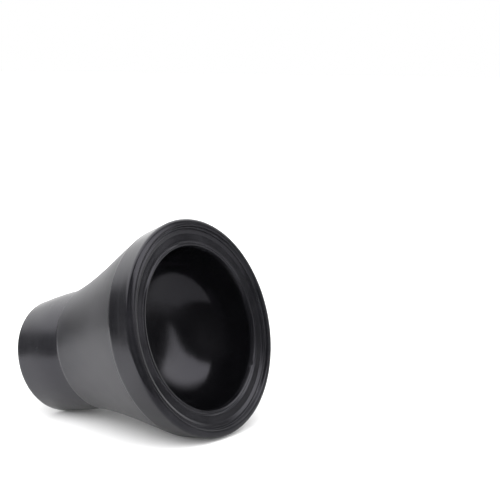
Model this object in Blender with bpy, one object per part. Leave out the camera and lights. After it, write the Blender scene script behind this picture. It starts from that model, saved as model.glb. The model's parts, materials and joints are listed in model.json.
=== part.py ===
"""Golf ball pick-up cup: one rubber moulding that pushes onto the butt of a putter grip.

The cup is a bell with a short neck. A ball wedges in the lip of the bell's mouth and is held by suction in
the bowl behind it; the grip's butt fits the blind socket in the neck. It lies on its side, resting on the
bell's mouth band and the end of the neck, with its axis in the XZ plane and the mouth towards +X.
The origin is on the floor, at the centre of the bounding box.
"""

import math

import bpy

MM = 0.001

# Driving dimensions, in millimetres. Depths run back from the front plane of the mouth.
LENGTH = 42.7
MOUTH_RADIUS = 22.5
BAND_DEPTH = 6.35
BAND_BACK_RADIUS = 21.6
BAND_BACK_ROUNDING = 1.5
SHOULDER_DEPTH = 29.0
SHOULDER_RADIUS = 13.35
NECK_ROOT_RADIUS = 13.0
NECK_MIDDLE_RADIUS = 12.85
NECK_END_RADIUS = 12.0
LIP_RADIUS = 16.65
BOWL_DEPTH = 14.4
SOCKET_RADIUS = 9.8
WEB_THICKNESS = 3.6

# The rim, the ridge and the lip around the mouth.
RIM_ROUNDING = 0.8
RIM_INNER_RADIUS = 20.65
GROOVE_RADIUS = 20.15
GROOVE_DEPTH = 0.8
RIDGE_RADIUS = 19.65
RIDGE_DEPTH = 0.5
PLATEAU_OUTER_DEPTH = 0.75
PLATEAU_INNER_RADIUS = 17.45
PLATEAU_INNER_DEPTH = 1.35
LIP_GROOVE_DEPTH = 1.6
LIP_CREST_RADIUS = 17.0
LIP_CREST_DEPTH = 1.3
LIP_DEPTH = 1.75

# The bell's flare: how steeply it leaves the band and reaches the shoulder.
FLARE_FRONT_SLOPE = math.radians(21.5)
FLARE_BACK_SLOPE = math.radians(16.0)
SHOULDER_ROUNDING = 0.15

# The neck, which narrows more towards its end, and the socket.
NECK_MIDDLE_DEPTH = 35.5
NECK_MIDDLE_ROUNDING = 60.0
NECK_END_ROUNDING = 1.0
SOCKET_ENTRY_ROUNDING = 0.4
SOCKET_FLOOR_ROUNDING = 0.8
BOWL_FULLNESS = 3.0

# How finely curves are cut.
TURN_STEPS = 64
CORNER_STEPS = 2
FLARE_STEPS = 8
BOWL_STEPS = 11
MERGE_DISTANCE = 0.01

RUBBER_COLOUR = (0.012, 0.012, 0.014, 1.0)
RUBBER_ROUGHNESS = 0.32


def clear_scene():
    for item in list(bpy.data.objects):
        bpy.data.objects.remove(item, do_unlink=True)


def rounded_corner(before, corner, after, radius):
    """The points of an arc that rounds the corner between two straight lines."""
    to_before = (before[0] - corner[0], before[1] - corner[1])
    to_after = (after[0] - corner[0], after[1] - corner[1])
    length_before = math.hypot(*to_before)
    length_after = math.hypot(*to_after)
    unit_before = (to_before[0] / length_before, to_before[1] / length_before)
    unit_after = (to_after[0] / length_after, to_after[1] / length_after)
    half_angle = math.acos(unit_before[0] * unit_after[0] + unit_before[1] * unit_after[1]) / 2
    reach = radius / math.tan(half_angle)
    centre_distance = radius / math.sin(half_angle)
    middle = (unit_before[0] + unit_after[0], unit_before[1] + unit_after[1])
    middle_length = math.hypot(*middle)
    centre = (
        corner[0] + middle[0] / middle_length * centre_distance,
        corner[1] + middle[1] / middle_length * centre_distance,
    )
    start = (corner[0] + unit_before[0] * reach, corner[1] + unit_before[1] * reach)
    end = (corner[0] + unit_after[0] * reach, corner[1] + unit_after[1] * reach)
    start_angle = math.atan2(start[1] - centre[1], start[0] - centre[0])
    end_angle = math.atan2(end[1] - centre[1], end[0] - centre[0])
    turn = math.remainder(end_angle - start_angle, math.tau)
    points = []
    for step in range(CORNER_STEPS + 1):
        angle = start_angle + turn * step / CORNER_STEPS
        points.append((centre[0] + radius * math.cos(angle), centre[1] + radius * math.sin(angle)))
    return points


def round_corners(corners):
    """Turns (radius, depth, rounding) corners into outline points; a rounding of 0 stays sharp."""
    points = []
    for index, (radius, depth, rounding) in enumerate(corners):
        if rounding == 0:
            points.append((radius, depth))
        else:
            before = corners[index - 1][:2]
            after = corners[index + 1][:2]
            points.extend(rounded_corner(before, (radius, depth), after, rounding))
    return points


def bowl_curve():
    """A full-bodied oval that runs from the centre of the bowl's floor up to the lip."""
    height = BOWL_DEPTH - LIP_DEPTH
    points = []
    for step in range(BOWL_STEPS):
        angle = math.pi / 2 * step / BOWL_STEPS
        radius = LIP_RADIUS * math.sin(angle) ** (2 / BOWL_FULLNESS)
        depth = LIP_DEPTH + height * math.cos(angle) ** (2 / BOWL_FULLNESS)
        points.append((radius, depth, 0))
    return points


def flare_curve():
    """A cubic curve from the back edge of the mouth band to the shoulder, without its ends."""
    start = (BAND_BACK_RADIUS, BAND_DEPTH)
    end = (SHOULDER_RADIUS, SHOULDER_DEPTH)
    third = math.dist(start, end) / 3
    control_1 = (
        start[0] - third * math.sin(FLARE_FRONT_SLOPE),
        start[1] + third * math.cos(FLARE_FRONT_SLOPE),
    )
    control_2 = (
        end[0] + third * math.sin(FLARE_BACK_SLOPE),
        end[1] - third * math.cos(FLARE_BACK_SLOPE),
    )
    points = []
    for step in range(1, FLARE_STEPS):
        t = step / FLARE_STEPS
        weights = ((1 - t) ** 3, 3 * t * (1 - t) ** 2, 3 * t**2 * (1 - t), t**3)
        handles = (start, control_1, control_2, end)
        radius = sum(w * handle[0] for w, handle in zip(weights, handles))
        depth = sum(w * handle[1] for w, handle in zip(weights, handles))
        points.append((radius, depth, 0))
    return points


def cup_outline():
    """The half section, from the bowl's floor over the lip and rim, down the outside and into the socket."""
    band_slope = (MOUTH_RADIUS - BAND_BACK_RADIUS) / (BAND_DEPTH - RIM_ROUNDING)
    rim_corner_radius = BAND_BACK_RADIUS + band_slope * BAND_DEPTH
    mouth_face = [
        (LIP_RADIUS, LIP_DEPTH, 0),
        (LIP_CREST_RADIUS, LIP_CREST_DEPTH, 0.12),
        ((LIP_CREST_RADIUS + PLATEAU_INNER_RADIUS) / 2, LIP_GROOVE_DEPTH, 0),
        (PLATEAU_INNER_RADIUS, PLATEAU_INNER_DEPTH, 0.15),
        (RIDGE_RADIUS - 0.25, PLATEAU_OUTER_DEPTH, 0),
        (RIDGE_RADIUS, RIDGE_DEPTH, 0.12),
        (GROOVE_RADIUS, GROOVE_DEPTH, 0.2),
        (RIM_INNER_RADIUS, 0.0, 0.3),
        (rim_corner_radius, 0.0, RIM_ROUNDING),
        (BAND_BACK_RADIUS, BAND_DEPTH, BAND_BACK_ROUNDING),
    ]
    socket_floor_depth = BOWL_DEPTH + WEB_THICKNESS
    neck = [
        (SHOULDER_RADIUS, SHOULDER_DEPTH, SHOULDER_ROUNDING),
        (NECK_ROOT_RADIUS, SHOULDER_DEPTH + 0.1, 0),
        (NECK_MIDDLE_RADIUS, NECK_MIDDLE_DEPTH, NECK_MIDDLE_ROUNDING),
        (NECK_END_RADIUS, LENGTH, NECK_END_ROUNDING),
        (SOCKET_RADIUS, LENGTH, SOCKET_ENTRY_ROUNDING),
        (SOCKET_RADIUS, socket_floor_depth, SOCKET_FLOOR_ROUNDING),
        (0.0, socket_floor_depth, 0),
    ]
    return round_corners(bowl_curve() + mouth_face + flare_curve() + neck)


def lying_tilt(outline):
    """How far the axis rises towards the mouth when the bell and the neck's end both touch the floor.

    It is the slope of the straight line that touches the outside of the section at both of them.
    """
    bell = [point for point in outline if point[0] > SHOULDER_RADIUS and point[1] < SHOULDER_DEPTH]
    neck_end = [point for point in outline if point[0] > SOCKET_RADIUS and point[1] > NECK_MIDDLE_DEPTH]
    slopes = [max((bell_r - end_r) / (end_d - bell_d) for bell_r, bell_d in bell) for end_r, end_d in neck_end]
    return math.atan(min(slopes))


def rubber_material():
    material = bpy.data.materials.new("black_rubber")
    material.use_nodes = True
    shader = material.node_tree.nodes["Principled BSDF"]
    shader.inputs["Base Color"].default_value = RUBBER_COLOUR
    shader.inputs["Roughness"].default_value = RUBBER_ROUGHNESS
    shader.inputs["Metallic"].default_value = 0.0
    return material


def make_cup():
    """The moulding, turned about its own Z axis with the neck's end at Z = 0, then laid on its side."""
    outline = cup_outline()
    vertices = [(radius * MM, 0.0, (LENGTH - depth) * MM) for radius, depth in outline]
    edges = [(index, index + 1) for index in range(len(vertices) - 1)]
    mesh = bpy.data.meshes.new("suction_cup")
    mesh.from_pydata(vertices, edges, [])
    cup = bpy.data.objects.new("suction_cup", mesh)
    bpy.context.scene.collection.objects.link(cup)
    mesh.materials.append(rubber_material())

    turning = cup.modifiers.new("turned_section", "SCREW")
    turning.axis = "Z"
    turning.steps = TURN_STEPS
    turning.render_steps = TURN_STEPS
    turning.use_merge_vertices = True
    turning.merge_threshold = MERGE_DISTANCE * MM
    turning.use_smooth_shade = True

    tilt = lying_tilt(outline)
    along = [(LENGTH - depth) * math.cos(tilt) for _, depth in outline]
    across = [radius * math.sin(tilt) for radius, _ in outline]
    front = max(a + b for a, b in zip(along, across))
    back = min(a - b for a, b in zip(along, across))
    lowest = min((LENGTH - depth) * math.sin(tilt) - radius * math.cos(tilt) for radius, depth in outline)
    cup.rotation_euler = (0.0, math.pi / 2 - tilt, 0.0)
    cup.location = (-(front + back) / 2 * MM, 0.0, -lowest * MM)
    return cup


def main():
    clear_scene()
    make_cup()


main()
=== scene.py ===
"""The looks of the golf ball pick-up cup: its fine moulded surface, its rubber, and a pale studio.

The cup is one turned piece that rides on the CAD's only body and stands for its only node. Its section is
worked out in millimetres, as radius from the axis and depth behind the mouth's front plane, and is placed
on the axis that the frame's mounts give.
"""

import json
import math

import bpy
import numpy as np
from mathutils import Matrix, Vector

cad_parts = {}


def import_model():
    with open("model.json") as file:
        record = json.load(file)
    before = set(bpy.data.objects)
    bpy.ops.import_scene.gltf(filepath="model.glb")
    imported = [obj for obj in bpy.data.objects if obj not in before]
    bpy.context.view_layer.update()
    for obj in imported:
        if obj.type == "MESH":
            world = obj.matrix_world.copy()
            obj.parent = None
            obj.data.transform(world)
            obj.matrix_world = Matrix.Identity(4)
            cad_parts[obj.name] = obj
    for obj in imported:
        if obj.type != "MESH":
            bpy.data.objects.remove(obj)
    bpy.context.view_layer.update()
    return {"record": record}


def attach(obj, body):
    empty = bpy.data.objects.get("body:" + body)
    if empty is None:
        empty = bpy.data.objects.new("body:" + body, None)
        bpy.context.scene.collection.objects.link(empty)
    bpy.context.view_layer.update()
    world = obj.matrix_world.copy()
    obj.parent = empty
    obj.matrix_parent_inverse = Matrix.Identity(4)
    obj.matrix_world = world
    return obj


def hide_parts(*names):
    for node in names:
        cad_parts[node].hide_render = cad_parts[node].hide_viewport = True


MM = 0.001

# The section's driving dimensions in millimetres and radians, the CAD model's own.
LENGTH = 42.7
MOUTH_RADIUS = 22.5
BAND_DEPTH = 6.35
BAND_BACK_RADIUS = 21.6
BAND_BACK_ROUNDING = 1.5
RIM_ROUNDING = 0.8
FLARE_FRONT_SLOPE = math.radians(21.5)
SHOULDER_DEPTH = 29.0
SHOULDER_RADIUS = 13.35
NECK_MIDDLE_DEPTH = 35.5
NECK_MIDDLE_RADIUS = 12.85
NECK_END_RADIUS = 12.0
LIP_RADIUS = 16.65
LIP_DEPTH = 1.75
BOWL_DEPTH = 14.4
BOWL_FULLNESS = 3.0
SOCKET_RADIUS = 9.8
SOCKET_ENTRY_ROUNDING = 0.4
SOCKET_FLOOR_ROUNDING = 0.8
WEB_THICKNESS = 3.6

# The finer shape that only the looks have, in the same units.
RIM_DROP = 0.35
FLARE_BACK_SLOPE = math.radians(13.0)
SHOULDER_ROUNDING = 0.42
NECK_ROOT_RADIUS = 12.95
NECK_ROOT_DROP = 0.15
NECK_BULGE = 60.0
NECK_END_ROUNDING = 1.0

# The corners of the face from the lip's crest out to the rim: radius, depth and rounding in millimetres.
FACE_CORNERS = (
    (16.95, 0.95, 0.12),
    (17.3, 0.85, 0.12),
    (17.6, 1.15, 0.15),
    (17.9, 0.9, 0.2),
    (19.45, 0.93, 0.4),
    (20.05, 0.66, 0.25),
    (20.3, 0.68, 0.15),
    (20.65, 0.9, 0.12),
    (20.95, 0.08, 0.3),
    (21.5, 0.1, 0.5),
)

# How finely the surface is cut. A rounding above the long one is a slow curve and gets more steps.
TURN_STEPS = 308
BOWL_STEPS = 44
FLARE_STEPS = 44
ARC_STEPS = 5
LONG_ARC_STEPS = 10
LONG_ROUNDING = 10
LONGEST_STEP = 0.55

# The rubber's unevenness: waves in a turn, size in millimetres, drift in radians a millimetre, start.
# It fades away towards the axis, inside the still radius.
UNEVEN_WAVES = (
    (2, 0.03, 0.05, 0.4),
    (3, 0.02, -0.11, 2.1),
    (7, 0.007, 0.31, 1.3),
    (16, 0.003, 0.9, 5.2),
)
STILL_RADIUS = 4

# A tiny nick in the lip, in millimetres, and its place round the axis.
NICK_RADIUS = 16.9
NICK_DEPTH = 1.0
NICK_WIDTH = 0.4
NICK_SIZE = 0.3
NICK_TURN = math.radians(324)

# The section's turn where wear and painted highlight start to show and where they show fully, in radians.
EDGE_RANGE = (0.15, 0.9)

# How far from a corner the surface still counts as its edge, in millimetres.
EDGE_REACH = 0.22

# The finishes of the rubber, in the order of their numbers: each stretch of the section takes one.
BOWL, PLAIN, MATT, FACE = 0, 1, 2, 3
# Each finish's last entry sets how much paler its edges are painted: partly wear, partly painted
# highlight.
FINISHES = (
    {
        "name": "bowl_rubber",
        # The bowl's colour is darker than the rest of the rubber: painted shade inside the bowl.
        "colour": (0.0015, 0.0015, 0.0019, 1.0),
        "roughness": 0.155,
        "sheen": 0.0,
        "bloom": 0.01,
        "streaks": 0.0,
        "dust": 0.0,
        "wear_and_highlight": 0.05,
    },
    {
        "name": "plain_rubber",
        "colour": (0.004, 0.004, 0.005, 1.0),
        "roughness": 0.24,
        "sheen": 0.0,
        "bloom": 0.05,
        "streaks": 0.03,
        "dust": 0.04,
        "wear_and_highlight": 0.2,
    },
    {
        "name": "matt_rubber",
        "colour": (0.004, 0.004, 0.005, 1.0),
        "roughness": 0.37,
        "sheen": 0.04,
        "bloom": 0.14,
        "streaks": 0.08,
        "dust": 0.05,
        "wear_and_highlight": 1.0,
    },
    {
        "name": "face_rubber",
        "colour": (0.002, 0.002, 0.0027, 1.0),
        "roughness": 0.2,
        "sheen": 0.0,
        "bloom": 0.06,
        "streaks": 0.05,
        "dust": 0.05,
        "wear_and_highlight": 0.12,
    },
)
BLOOM_COLOUR = (0.055, 0.055, 0.06, 1.0)
DUST_COLOUR = (0.09, 0.085, 0.08, 1.0)
# The paler colour painted on the outward edges: partly wear, partly painted highlight.
WORN_AND_HIGHLIT_COLOUR = (0.1, 0.1, 0.11, 1.0)
SPECULAR_LEVEL = 0.55
SPECULAR_TINT = (0.91, 0.89, 1.0, 1.0)
SHEEN_ROUGHNESS = 0.35

# The rubber's noises, as waves in a metre. The rings are fine along the axis and long round it.
CLOUD_SCALE = 130.0
RING_SCALE = (35.0, 35.0, 1500.0)
GRAIN_SCALE = 4200.0
SPECK_SCALE = 1900.0
NOISE_ROUGHNESS = 0.6

# Where each noise starts to show and where it shows fully, and what it does there.
CLOUD_RANGE = (0.38, 0.68)
RING_RANGE = (0.42, 0.66)
SPECK_RANGE = (0.70, 0.76)
PATCH_RANGE = (0.3, 0.6)
PATCH_SHARE = (0.55, 1.0)
POLISH_RANGE = (0.3, 0.7)
POLISH_SPREAD = (-0.02, 0.03)
RING_ROUGHNESS = 0.25
RING_RELIEF = 0.8
RELIEF_STRENGTH = 0.25
RELIEF_HEIGHT = 0.00002

# The camera, in metres and millimetres of lens. It looks past the mouth's centre by the two shifts.
CAMERA_WAY = (0.57913, -0.80370, 0.13664)
CAMERA_DISTANCE = 0.300
CAMERA_SHIFT_RIGHT = 0.008995
CAMERA_SHIFT_UP = 0.015543
CAMERA_LENS = 106.73
CAMERA_SENSOR = 36.0
CAMERA_CLIP = (0.01, 10.0)

# The floor, and the sheet that the rubber reflects in its place. An azimuth of 0 is towards -Y and 90 is
# towards +X.
PAPER_COLOUR = (0.9, 0.9, 0.9, 1.0)
FLOOR_REACH = 3.0
SHEET_AZIMUTH = 109
SHEET_FRONT = 0.0456
SHEET_LEFT_REACH = 0.19
SHEET_REACH = 1.5
SHEET_HEIGHT = 0.0001
# Where along X the sheet darkens, and its colours on either side: painted shade, darker towards +X.
SHEET_SHADE_RANGE = (-0.01, 0.035)
SHEET_SHADE_TONES = (0.71, 0.26)

# The tent as the camera and the floor see it: azimuth and strength.
TENT_BACK_STRENGTH = 1.0
TENT_FRONT_STRENGTH = 3.8
TENT_STOPS = (
    (0, TENT_FRONT_STRENGTH),
    (80, TENT_FRONT_STRENGTH),
    (140, TENT_BACK_STRENGTH),
    (290, TENT_BACK_STRENGTH),
    (350, TENT_FRONT_STRENGTH),
)

# The tent as the rubber reflects it, in three layers from the horizon up.
OPEN_STRENGTH = 0.03
SIDE_STRENGTH = 0.2
STRIP_STRENGTH = 0.4
BACK_STRENGTH = 1.5
HIGH_STRENGTH = 1.8
STRIP_STOPS = (
    (0, OPEN_STRENGTH),
    (105, OPEN_STRENGTH),
    (128, STRIP_STRENGTH),
    (150, STRIP_STRENGTH),
    (185, BACK_STRENGTH),
    (225, BACK_STRENGTH),
    (285, SIDE_STRENGTH),
    (312, SIDE_STRENGTH),
    (330, OPEN_STRENGTH),
)
LOW_STOPS = (
    (0, OPEN_STRENGTH),
    (155, OPEN_STRENGTH),
    (185, BACK_STRENGTH),
    (225, BACK_STRENGTH),
    (285, SIDE_STRENGTH),
    (312, SIDE_STRENGTH),
    (330, OPEN_STRENGTH),
)
HIGH_STOPS = (
    (0, OPEN_STRENGTH),
    (155, OPEN_STRENGTH),
    (185, HIGH_STRENGTH),
    (310, HIGH_STRENGTH),
    (330, OPEN_STRENGTH),
)

# The elevations in degrees between which one layer gives way to the next.
STRIP_TOP = (3, 6)
LOW_TOP = (16, 23)

# The overhead light, in metres. Its outline is measured along its own azimuth and forward from it, and it
# fades over a range of the forward distance, leaning a little along.
PANEL_STRENGTH = 2.0
PANEL_FAINTEST = 0.15
PANEL_AZIMUTH = 133
PANEL_HEIGHT = 0.30
PANEL_OUTLINE = (
    (0.0, 0.15),
    (0.05, -0.02),
    (0.30, -0.075),
    (0.62, -0.135),
    (0.88, -0.125),
    (1.15, -0.065),
    (1.45, 0.03),
    (1.80, 0.20),
    (0.90, 0.18),
    (0.35, 0.21),
    (0.10, 0.18),
)
PANEL_FADE_LEAN = 0.25
PANEL_FADE_RANGE = (0.01, 0.10)


def azimuth_way(azimuth):
    """The level direction of an azimuth."""
    angle = math.radians(azimuth)
    return Vector((math.sin(angle), -math.cos(angle), 0.0))


def corner_arc(before, corner, after, radius, steps):
    """The points of an arc that rounds the corner between two straight lines."""
    corner = Vector(corner)
    to_before = (Vector(before) - corner).normalized()
    to_after = (Vector(after) - corner).normalized()
    half_angle = to_before.angle(to_after) / 2
    reach = radius / math.tan(half_angle)
    centre = corner + (to_before + to_after).normalized() * (radius / math.sin(half_angle))
    start = corner + to_before * reach - centre
    end = corner + to_after * reach - centre
    turn = start.angle_signed(end)
    points = []
    for step in range(steps + 1):
        spun = Matrix.Rotation(-turn * step / steps, 2) @ start
        points.append(tuple(centre + spun))
    return points


def bowl_corners():
    """A full-bodied oval from the bowl's floor up to the lip, with evenly spread points."""
    height = BOWL_DEPTH - LIP_DEPTH
    corners = []
    for step in range(BOWL_STEPS):
        angle = math.pi / 2 * step / BOWL_STEPS
        sine = math.sin(angle)
        cosine = math.cos(angle)
        reach = (sine**BOWL_FULLNESS + cosine**BOWL_FULLNESS) ** (-1 / BOWL_FULLNESS)
        corners.append((LIP_RADIUS * sine * reach, LIP_DEPTH + height * cosine * reach, 0, BOWL))
    return corners


def flare_corners():
    """A cubic curve from the back edge of the mouth band to the shoulder, without its ends."""
    start = Vector((BAND_BACK_RADIUS, BAND_DEPTH))
    end = Vector((SHOULDER_RADIUS, SHOULDER_DEPTH))
    third = (end - start).length / 3
    control_1 = start + Vector((-math.sin(FLARE_FRONT_SLOPE), math.cos(FLARE_FRONT_SLOPE))) * third
    control_2 = end + Vector((math.sin(FLARE_BACK_SLOPE), -math.cos(FLARE_BACK_SLOPE))) * third
    corners = []
    for step in range(1, FLARE_STEPS):
        t = step / FLARE_STEPS
        point = (
            start * (1 - t) ** 3
            + control_1 * (3 * t * (1 - t) ** 2)
            + control_2 * (3 * t**2 * (1 - t))
            + end * t**3
        )
        corners.append((point.x, point.y, 0, MATT))
    return corners


def cup_corners():
    """The half section from the bowl's floor to the socket's, as (radius, depth, rounding, finish)."""
    band_slope = (MOUTH_RADIUS - BAND_BACK_RADIUS) / (BAND_DEPTH - RIM_ROUNDING)
    rim_corner_radius = BAND_BACK_RADIUS + band_slope * (BAND_DEPTH - RIM_DROP)
    socket_floor_depth = BOWL_DEPTH + WEB_THICKNESS
    lip = [(LIP_RADIUS, LIP_DEPTH, 0, FACE)]
    face = [(*corner, FACE) for corner in FACE_CORNERS]
    band = [
        (rim_corner_radius, RIM_DROP, RIM_ROUNDING, FACE),
        (BAND_BACK_RADIUS, BAND_DEPTH, BAND_BACK_ROUNDING, PLAIN),
    ]
    neck = [
        (SHOULDER_RADIUS, SHOULDER_DEPTH, SHOULDER_ROUNDING, MATT),
        (NECK_ROOT_RADIUS, SHOULDER_DEPTH + NECK_ROOT_DROP, 0, PLAIN),
        (NECK_MIDDLE_RADIUS, NECK_MIDDLE_DEPTH, NECK_BULGE, PLAIN),
        (NECK_END_RADIUS, LENGTH, NECK_END_ROUNDING, PLAIN),
        (SOCKET_RADIUS, LENGTH, SOCKET_ENTRY_ROUNDING, PLAIN),
        (SOCKET_RADIUS, socket_floor_depth, SOCKET_FLOOR_ROUNDING, PLAIN),
        (SOCKET_RADIUS / 2, socket_floor_depth, 0, PLAIN),
        (0.0, socket_floor_depth, 0, PLAIN),
    ]
    return bowl_corners() + lip + face + band + flare_corners() + neck


def cup_outline():
    """Rings of (radius, depth, finish): the corners rounded, and long straight stretches divided."""
    corners = cup_corners()
    rounded = []
    for index, (radius, depth, rounding, finish) in enumerate(corners):
        if rounding == 0:
            rounded.append((radius, depth, finish))
            continue
        before = corners[index - 1][:2]
        after = corners[index + 1][:2]
        steps = LONG_ARC_STEPS if rounding > LONG_ROUNDING else ARC_STEPS
        arc = corner_arc(before, (radius, depth), after, rounding, steps)
        rounded.extend((*point, finish) for point in arc)
    outline = [rounded[0]]
    for start, end in zip(rounded, rounded[1:]):
        pieces = max(1, math.ceil(math.dist(start[:2], end[:2]) / LONGEST_STEP))
        for piece in range(1, pieces + 1):
            place = Vector(start[:2]).lerp(Vector(end[:2]), piece / pieces)
            outline.append((place.x, place.y, end[2] if piece == pieces else start[2]))
    return outline


def edge_sharpness(outline):
    """For each ring, how sharply the section turns outwards there, in radians over the nearby stretch."""
    sharpness = [0.0] * len(outline)
    for index in range(1, len(outline) - 1):
        before, here, after = (Vector(ring[:2]) for ring in outline[index - 1 : index + 2])
        turn = (here - before).angle_signed(after - here, 0.0)
        for other, ring in enumerate(outline):
            nearness = 1 - math.dist(ring[:2], here) / EDGE_REACH
            if nearness > 0:
                sharpness[other] += turn * nearness
    return sharpness


def axis_frame(record):
    """The mouth's centre and the cup's own axes in the row frame: towards the mouth, sideways and up."""
    mounts = {mount["name"]: mount for mount in record["mounts"]}
    rim = mounts["mouth_rim"]
    axis = Vector(rim["axis"]).normalized()
    seat = Vector(mounts["grip_seat"]["pos_m"])
    mouth = seat + axis * (Vector(rim["pos_m"]) - seat).dot(axis)
    side = Vector((0, 1, 0))
    up = axis.cross(side).normalized()
    return mouth, axis, side, up


def unevenness(rings, turns):
    """How far the soft moulding strays from round at each ring and turn: slow waves, and one nick."""
    radii = rings[:, 0, None]
    depths = rings[:, 1, None]
    stray = np.zeros((len(rings), len(turns)))
    for waves, size, drift, start in UNEVEN_WAVES:
        stray += size * np.sin(waves * turns[None] + drift * (depths / MM) + start)
    fade = np.clip(radii / (STILL_RADIUS * MM), 0.0, 1.0)
    off_ring = np.hypot(radii - NICK_RADIUS * MM, depths - NICK_DEPTH * MM) / (NICK_WIDTH * MM)
    off_turn = (turns[None] - NICK_TURN) * NICK_RADIUS / NICK_WIDTH
    nick = NICK_SIZE * np.exp(-(off_ring**2) - off_turn**2)
    return (stray * fade + nick) * MM


def turned_piece(name, outline, mouth, axis, side, up):
    """A closed mesh of the outline turned about the axis; both ends of the outline lie on the axis."""
    turns = np.arange(TURN_STEPS) * (math.tau / TURN_STEPS)
    sections = np.array([ring[:2] for ring in outline]) * MM
    rings = sections[1:-1]
    across = np.cos(turns)[:, None] * np.array(side) + np.sin(turns)[:, None] * np.array(up)
    radii = rings[:, 0, None] + unevenness(rings, turns)
    points = radii[:, :, None] * across[None] - rings[:, 1, None, None] * np.array(axis)
    ends = -sections[[0, -1], 1, None] * np.array(axis)
    vertices = np.vstack([points.reshape(-1, 3), ends]) + np.array(mouth)
    faces = []
    finishes = []
    for ring in range(len(rings) - 1):
        low = ring * TURN_STEPS
        high = low + TURN_STEPS
        for step in range(TURN_STEPS):
            following = (step + 1) % TURN_STEPS
            faces.append((low + step, low + following, high + following, high + step))
            finishes.append(outline[ring + 1][2])
    floor = len(rings) * TURN_STEPS
    last = floor - TURN_STEPS
    for step in range(TURN_STEPS):
        following = (step + 1) % TURN_STEPS
        faces.append((floor, following, step))
        finishes.append(BOWL)
        faces.append((floor + 1, last + step, last + following))
        finishes.append(PLAIN)
    mesh = bpy.data.meshes.new(name)
    mesh.from_pydata(vertices.tolist(), [], faces)
    mesh.shade_smooth()
    mesh.polygons.foreach_set("material_index", finishes)
    sharpness = edge_sharpness(outline)
    edges = np.append(np.repeat(sharpness[1:-1], TURN_STEPS), [0.0, 0.0])
    mesh.attributes.new("edge", "FLOAT", "POINT").data.foreach_set("value", edges)
    piece = bpy.data.objects.new(name, mesh)
    bpy.context.scene.collection.objects.link(piece)
    return piece


def value_range(nodes, links, value, source, target):
    """The value mapped smoothly from one range to another and held at its ends."""
    node = nodes.new("ShaderNodeMapRange")
    node.interpolation_type = "SMOOTHSTEP"
    node.inputs["From Min"].default_value = source[0]
    node.inputs["From Max"].default_value = source[1]
    node.inputs["To Min"].default_value = target[0]
    node.inputs["To Max"].default_value = target[1]
    links.new(value, node.inputs["Value"])
    return node.outputs["Result"]


def maths(nodes, links, operation, *values):
    """The result of an operation on one or two values; each value is a socket or a number."""
    node = nodes.new("ShaderNodeMath")
    node.operation = operation
    for socket, value in zip(node.inputs, values):
        if isinstance(value, (int, float)):
            socket.default_value = value
        else:
            links.new(value, socket)
    return node.outputs["Value"]


def noise_value(nodes, links, place, scale, detail):
    """Noise on the given coordinates, with a whole scale or one scale for each axis."""
    node = nodes.new("ShaderNodeTexNoise")
    node.inputs["Detail"].default_value = detail
    node.inputs["Roughness"].default_value = NOISE_ROUGHNESS
    if isinstance(scale, tuple):
        stretch = nodes.new("ShaderNodeMapping")
        stretch.inputs["Scale"].default_value = scale
        links.new(place, stretch.inputs["Vector"])
        node.inputs["Scale"].default_value = 1.0
        links.new(stretch.outputs["Vector"], node.inputs["Vector"])
    else:
        node.inputs["Scale"].default_value = scale
        links.new(place, node.inputs["Vector"])
    return node.outputs["Fac"]


def mixed_colour(nodes, links, factor, first, second):
    """A mix of two colours; each is a socket or a colour."""
    node = nodes.new("ShaderNodeMix")
    node.data_type = "RGBA"
    links.new(factor, node.inputs["Factor"])
    for name, colour in (("A", first), ("B", second)):
        if isinstance(colour, tuple):
            node.inputs[name].default_value = colour
        else:
            links.new(colour, node.inputs[name])
    return node.outputs["Result"]


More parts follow.
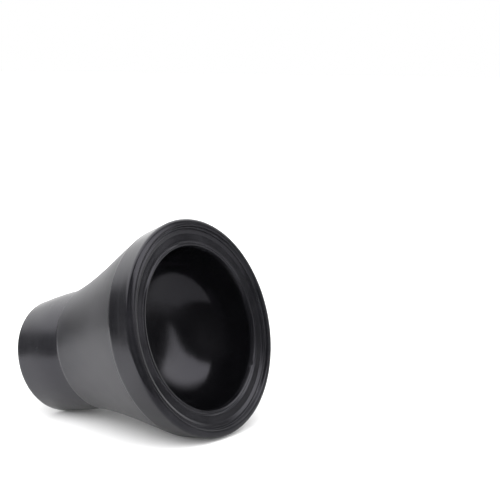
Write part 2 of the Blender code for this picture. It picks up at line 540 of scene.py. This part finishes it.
def rubber(tilt, name, colour, roughness, sheen, bloom, streaks, dust, wear_and_highlight):
    """Moulded rubber: cloudy bloom, mould rings, dust specks, and paler edges, partly wear and partly
    painted highlight.

    The tilt turns the coordinates so that their Z runs along the cup's axis.
    """
    material = bpy.data.materials.new(name)
    material.use_nodes = True
    nodes = material.node_tree.nodes
    links = material.node_tree.links
    shader = nodes["Principled BSDF"]
    shader.inputs["Specular IOR Level"].default_value = SPECULAR_LEVEL
    shader.inputs["Specular Tint"].default_value = SPECULAR_TINT
    shader.inputs["Sheen Weight"].default_value = sheen
    shader.inputs["Sheen Roughness"].default_value = SHEEN_ROUGHNESS

    coordinates = nodes.new("ShaderNodeTexCoord")
    turned = nodes.new("ShaderNodeMapping")
    turned.inputs["Rotation"].default_value = (0.0, tilt, 0.0)
    links.new(coordinates.outputs["Object"], turned.inputs["Vector"])
    place = turned.outputs["Vector"]

    clouds = noise_value(nodes, links, place, CLOUD_SCALE, detail=4.0)
    rings = noise_value(nodes, links, place, RING_SCALE, detail=3.0)
    grain = noise_value(nodes, links, place, GRAIN_SCALE, detail=2.0)
    specks = noise_value(nodes, links, place, SPECK_SCALE, detail=1.0)

    cloudy = value_range(nodes, links, clouds, CLOUD_RANGE, (0.0, bloom))
    ringed = value_range(nodes, links, rings, RING_RANGE, (0.0, streaks))
    veil = maths(nodes, links, "ADD", cloudy, ringed)
    dusty = value_range(nodes, links, specks, SPECK_RANGE, (0.0, dust))
    edge = nodes.new("ShaderNodeAttribute")
    edge.attribute_name = "edge"
    edges = value_range(nodes, links, edge.outputs["Fac"], EDGE_RANGE, (0.0, wear_and_highlight))
    patchy = value_range(nodes, links, clouds, PATCH_RANGE, PATCH_SHARE)
    # The outward edges are painted paler: partly wear, partly painted highlight.
    worn_and_highlit = maths(nodes, links, "MULTIPLY", edges, patchy)

    base = mixed_colour(nodes, links, veil, colour, BLOOM_COLOUR)
    base = mixed_colour(nodes, links, dusty, base, DUST_COLOUR)
    base = mixed_colour(nodes, links, worn_and_highlit, base, WORN_AND_HIGHLIT_COLOUR)
    links.new(base, shader.inputs["Base Color"])

    spread = (roughness + POLISH_SPREAD[0], roughness + POLISH_SPREAD[1])
    rough = value_range(nodes, links, clouds, POLISH_RANGE, spread)
    ring_rough = maths(nodes, links, "MULTIPLY", ringed, RING_ROUGHNESS)
    rough = maths(nodes, links, "ADD", rough, ring_rough)
    links.new(rough, shader.inputs["Roughness"])

    relief = maths(nodes, links, "ADD", grain, maths(nodes, links, "MULTIPLY", rings, RING_RELIEF))
    bump = nodes.new("ShaderNodeBump")
    bump.inputs["Strength"].default_value = RELIEF_STRENGTH
    bump.inputs["Distance"].default_value = RELIEF_HEIGHT
    links.new(relief, bump.inputs["Height"])
    links.new(bump.outputs["Normal"], shader.inputs["Normal"])
    return material


def make_camera(mouth):
    """A camera 0.3 m from the mouth, 36 degrees round to its right, looking 8 degrees down."""
    back = Vector(CAMERA_WAY).normalized()
    right = Vector((-back.y, back.x, 0.0)).normalized()
    up = back.cross(right).normalized()
    data = bpy.data.cameras.new("camera")
    data.sensor_width = CAMERA_SENSOR
    data.lens = CAMERA_LENS
    data.clip_start, data.clip_end = CAMERA_CLIP
    camera = bpy.data.objects.new("camera", data)
    bpy.context.scene.collection.objects.link(camera)
    camera.matrix_world = Matrix((right, up, back)).transposed().to_4x4()
    place = mouth + back * CAMERA_DISTANCE + right * CAMERA_SHIFT_RIGHT + up * CAMERA_SHIFT_UP
    camera.matrix_world.translation = place
    bpy.context.scene.camera = camera


def flat_piece(name, corners, height, material):
    """A level plate of the studio, with the given corners."""
    mesh = bpy.data.meshes.new(name)
    points = [(corner.x, corner.y, height) for corner in corners]
    mesh.from_pydata(points, [], [tuple(range(len(corners)))])
    mesh.materials.append(material)
    piece = bpy.data.objects.new(name, mesh)
    bpy.context.scene.collection.objects.link(piece)
    return piece


def show_in_reflections_only(piece):
    """Hides a plate of the studio from everything but the rubber's gloss."""
    piece.visible_camera = False
    piece.visible_diffuse = False
    piece.visible_shadow = False


def matt_paper(name):
    """White paper without any gloss."""
    material = bpy.data.materials.new(name)
    material.use_nodes = True
    shader = material.node_tree.nodes["Principled BSDF"]
    shader.inputs["Base Color"].default_value = PAPER_COLOUR
    shader.inputs["Roughness"].default_value = 1.0
    shader.inputs["Specular IOR Level"].default_value = 0.0
    return material


def make_floor():
    """The pale floor, and in its place the sheet that the rubber reflects, which ends just in front."""
    signs = ((-1, -1), (1, -1), (1, 1), (-1, 1))
    corners = [Vector((x * FLOOR_REACH, y * FLOOR_REACH)) for x, y in signs]
    floor = flat_piece("floor", corners, 0.0, matt_paper("pale_floor"))
    floor.visible_glossy = False

    paper = matt_paper("reflected_sheet")
    nodes = paper.node_tree.nodes
    links = paper.node_tree.links
    place = nodes.new("ShaderNodeTexCoord")
    parts = nodes.new("ShaderNodeSeparateXYZ")
    links.new(place.outputs["Object"], parts.inputs["Vector"])
    # The sheet is painted darker towards +X: painted shade on the floor that the rubber reflects.
    shade_tone = value_range(nodes, links, parts.outputs["X"], SHEET_SHADE_RANGE, SHEET_SHADE_TONES)
    links.new(shade_tone, nodes["Principled BSDF"].inputs["Base Color"])
    along = azimuth_way(SHEET_AZIMUTH)
    forward = azimuth_way(SHEET_AZIMUTH - 90)
    front = forward * SHEET_FRONT
    corners = [
        front - along * SHEET_LEFT_REACH,
        front + along * SHEET_REACH,
        along * SHEET_REACH - forward * SHEET_REACH,
        along * -SHEET_LEFT_REACH - forward * SHEET_REACH,
    ]
    sheet = flat_piece("reflected_sheet", corners, SHEET_HEIGHT, paper)
    show_in_reflections_only(sheet)


def azimuth_ramp(nodes, links, share, stops):
    """A smooth ramp of strengths round the horizon, from (azimuth, strength) stops.

    The share is the azimuth as a part of the whole turn.
    """
    ramp = nodes.new("ShaderNodeValToRGB")
    ramp.color_ramp.interpolation = "EASE"
    elements = ramp.color_ramp.elements
    while len(elements) > 1:
        elements.remove(elements[-1])
    for index, (degrees, strength) in enumerate(stops):
        position = degrees / 360
        element = elements[0] if index == 0 else elements.new(position)
        element.position = position
        element.color = (strength, strength, strength, 1.0)
    links.new(share, ramp.inputs["Fac"])
    return ramp.outputs["Color"]


def above(nodes, links, height, elevations):
    """How far a direction is above the range of elevations, from 0 below it to 1 above it."""
    heights = [math.sin(math.radians(elevation)) for elevation in elevations]
    return value_range(nodes, links, height, heights, (0, 1))


def make_world():
    """A white tent that is open towards the camera.

    The camera and the floor see it white all round, and brighter at the front. The rubber's reflections
    see it bright behind and above the cup, dimmer to its left, and dark where it is open.
    """
    world = bpy.data.worlds.new("studio")
    bpy.context.scene.world = world
    world.use_nodes = True
    nodes = world.node_tree.nodes
    links = world.node_tree.links
    nodes.clear()
    coordinates = nodes.new("ShaderNodeTexCoord")
    parts = nodes.new("ShaderNodeSeparateXYZ")
    links.new(coordinates.outputs["Generated"], parts.inputs["Vector"])
    flipped = maths(nodes, links, "MULTIPLY", parts.outputs["Y"], -1.0)
    angle = maths(nodes, links, "ARCTAN2", parts.outputs["X"], flipped)
    turn = maths(nodes, links, "DIVIDE", angle, math.tau)
    share = maths(nodes, links, "FRACT", turn)

    low = azimuth_ramp(nodes, links, share, LOW_STOPS)
    high = azimuth_ramp(nodes, links, share, HIGH_STOPS)
    seen = azimuth_ramp(nodes, links, share, TENT_STOPS)
    strip = azimuth_ramp(nodes, links, share, STRIP_STOPS)
    above_strip = above(nodes, links, parts.outputs["Z"], STRIP_TOP)
    above_low = above(nodes, links, parts.outputs["Z"], LOW_TOP)
    lower = mixed_colour(nodes, links, above_strip, strip, low)
    surround = mixed_colour(nodes, links, above_low, lower, high)

    reflected = nodes.new("ShaderNodeBackground")
    links.new(surround, reflected.inputs["Color"])
    tent = nodes.new("ShaderNodeBackground")
    links.new(seen, tent.inputs["Color"])
    path = nodes.new("ShaderNodeLightPath")
    mix = nodes.new("ShaderNodeMixShader")
    links.new(path.outputs["Is Glossy Ray"], mix.inputs["Fac"])
    links.new(tent.outputs["Background"], mix.inputs[1])
    links.new(reflected.outputs["Background"], mix.inputs[2])
    out = nodes.new("ShaderNodeOutputWorld")
    links.new(mix.outputs["Shader"], out.inputs["Surface"])


def make_panel():
    """A long kite of light overhead that the bowl reflects; it runs away to the right of the cup.

    It fades towards its back edge.
    """
    along = azimuth_way(PANEL_AZIMUTH)
    forward = azimuth_way(PANEL_AZIMUTH - 90)
    corners = [along * corner[0] + forward * corner[1] for corner in PANEL_OUTLINE]
    glowing = bpy.data.materials.new("panel_light")
    glowing.use_nodes = True
    nodes = glowing.node_tree.nodes
    links = glowing.node_tree.links
    nodes.clear()
    place = nodes.new("ShaderNodeTexCoord")
    across = nodes.new("ShaderNodeVectorMath")
    across.operation = "DOT_PRODUCT"
    across.inputs[1].default_value = forward + along * PANEL_FADE_LEAN
    links.new(place.outputs["Object"], across.inputs[0])
    strengths = (PANEL_STRENGTH * PANEL_FAINTEST, PANEL_STRENGTH)
    strength = value_range(nodes, links, across.outputs["Value"], PANEL_FADE_RANGE, strengths)
    glow = nodes.new("ShaderNodeEmission")
    links.new(strength, glow.inputs["Strength"])
    out = nodes.new("ShaderNodeOutputMaterial")
    links.new(glow.outputs["Emission"], out.inputs["Surface"])
    panel = flat_piece("panel", corners, PANEL_HEIGHT, glowing)
    show_in_reflections_only(panel)


def build():
    """The whole scene around the frame."""
    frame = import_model()
    mouth, axis, side, up = axis_frame(frame["record"])
    cup = turned_piece("rubber_cup", cup_outline(), mouth, axis, side, up)
    tilt = math.asin(axis.z) - math.pi / 2
    for finish in FINISHES:
        cup.data.materials.append(rubber(tilt, **finish))
    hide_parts("suction_cup")
    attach(cup, "root")
    make_camera(mouth)
    make_floor()
    make_world()
    make_panel()
    bpy.context.scene.view_settings.view_transform = "Standard"


build()
